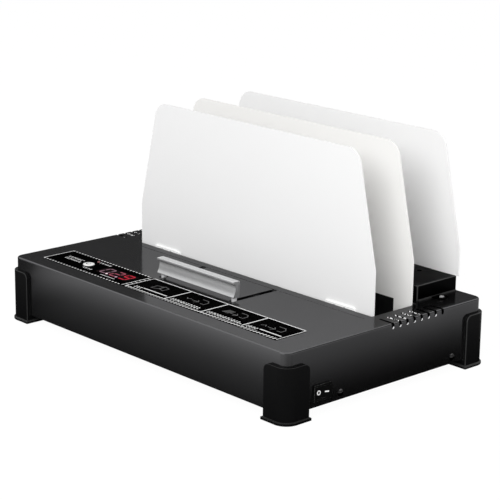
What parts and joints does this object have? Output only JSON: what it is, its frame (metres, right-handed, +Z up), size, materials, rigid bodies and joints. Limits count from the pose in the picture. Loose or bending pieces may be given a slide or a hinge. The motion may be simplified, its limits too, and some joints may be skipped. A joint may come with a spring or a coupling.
{
  "type": "thermal binding machine",
  "caption": "Desktop thermal binding machine: black steel case on corner feet, heated slot between white paper boards, hand-slid clamp and rear cooling rack.",
  "frame": {"origin": "on the floor under the centre of the case, at the underside of the rubber pads", "axes": "+X to the right along the binding slot, +Y to the rear, +Z up; the controls face -Y"},
  "size_m": [0.4096, 0.2656, 0.2167],
  "materials": {
    "case_paint": "glossy black paint on steel sheet",
    "housing_paint": "matt black paint on steel sheet",
    "base_paint": "satin black paint",
    "foot_plastic": "fine-grained black moulding",
    "rubber": "matt black",
    "screw_steel": "zinc plated",
    "screw_black": "black plated",
    "bright_steel": "polished",
    "overlay_film": "printed film, satin",
    "display_lens": "dark red tinted lens",
    "dark_plastic": "moulded black",
    "rocker_plastic": "moulded black",
    "lamp_red": "clear red",
    "button_white": "moulded white",
    "circuit_board": "green solder mask",
    "standoff_metal": "plain turned",
    "pin_brass": "plain",
    "handle_metal": "satin anodised extrusion",
    "carriage_steel": "black zinc plated sheet",
    "bush_plastic": "natural acetal",
    "board_paint": "white powder coat, satin",
    "insulation": "pressed ceramic fibre",
    "element_sheath": "mica wrapped strip",
    "heater_metal": "plain cast plate",
    "spacer_ceramic": "unglazed ceramic",
    "thermostat_metal": "drawn cap",
    "transformer_iron": "varnished laminations",
    "relay_plastic": "moulded blue"
  },
  "bodies": {
    "chassis": {"upper_case": "case_paint", "base_plate": "base_paint", "foot_front_left": "foot_plastic", "foot_front_right": "foot_plastic", "foot_rear_left": "foot_plastic", "foot_rear_right": "foot_plastic", "foot_pads": "rubber", "foot_screws": "screw_steel", "case_screws": "screw_black", "control_overlay": "overlay_film", "display_lens": "display_lens", "display_module": "dark_plastic", "indicator_led": "lamp_red", "tact_switch": "dark_plastic", "control_pcb": "circuit_board", "pcb_standoffs": "standoff_metal", "buzzer": "dark_plastic", "switch_housing": "dark_plastic", "power_inlet": "dark_plastic", "inlet_pins": "pin_brass", "guide_rods": "bright_steel", "rod_brackets": "carriage_steel", "middle_board": "board_paint", "board_spacers": "standoff_metal", "leg_screws": "screw_steel", "rear_board": "board_paint", "rear_board_screws": "screw_steel", "rear_housing": "housing_paint", "housing_screws": "bright_steel", "heater_tray": "base_paint", "insulation_pad": "insulation", "heating_elements": "element_sheath", "heater_plate": "heater_metal", "tray_spacers": "spacer_ceramic", "tray_screws": "screw_steel", "thermostat": "thermostat_metal", "thermal_fuse": "thermostat_metal", "power_board": "circuit_board", "power_board_posts": "standoff_metal", "transformer": "transformer_iron", "relay": "relay_plastic"},
    "clamp": {"clamp_handle": "handle_metal", "handle_posts": "bright_steel", "handle_screws": "screw_steel", "clamp_carriage": "carriage_steel", "board_brackets": "board_paint", "bracket_screws": "screw_steel", "slide_bushes": "bush_plastic", "front_board": "board_paint", "board_screws": "screw_steel"},
    "start_key": {"start_button": "button_white"},
    "rocker": {"rocker_paddle": "rocker_plastic"}
  },
  "joints": [
    {"name": "clamp_slide", "type": "slide", "parent": "chassis", "child": "clamp", "axis": [0, 1, 0], "range_m": [0, 0.048]},
    {"name": "start_press", "type": "slide", "parent": "chassis", "child": "start_key", "axis": [0, 0, -1], "range_m": [0, 0.0008], "stiffness_N_per_m": 2500, "springref_m": -0.0004},
    {"name": "rocker_tilt", "type": "hinge", "parent": "chassis", "child": "rocker", "pos_m": [0.1988, -0.0847, 0.0225], "axis": [0, 0, 1], "range_deg": [0, 22]}
  ]
}
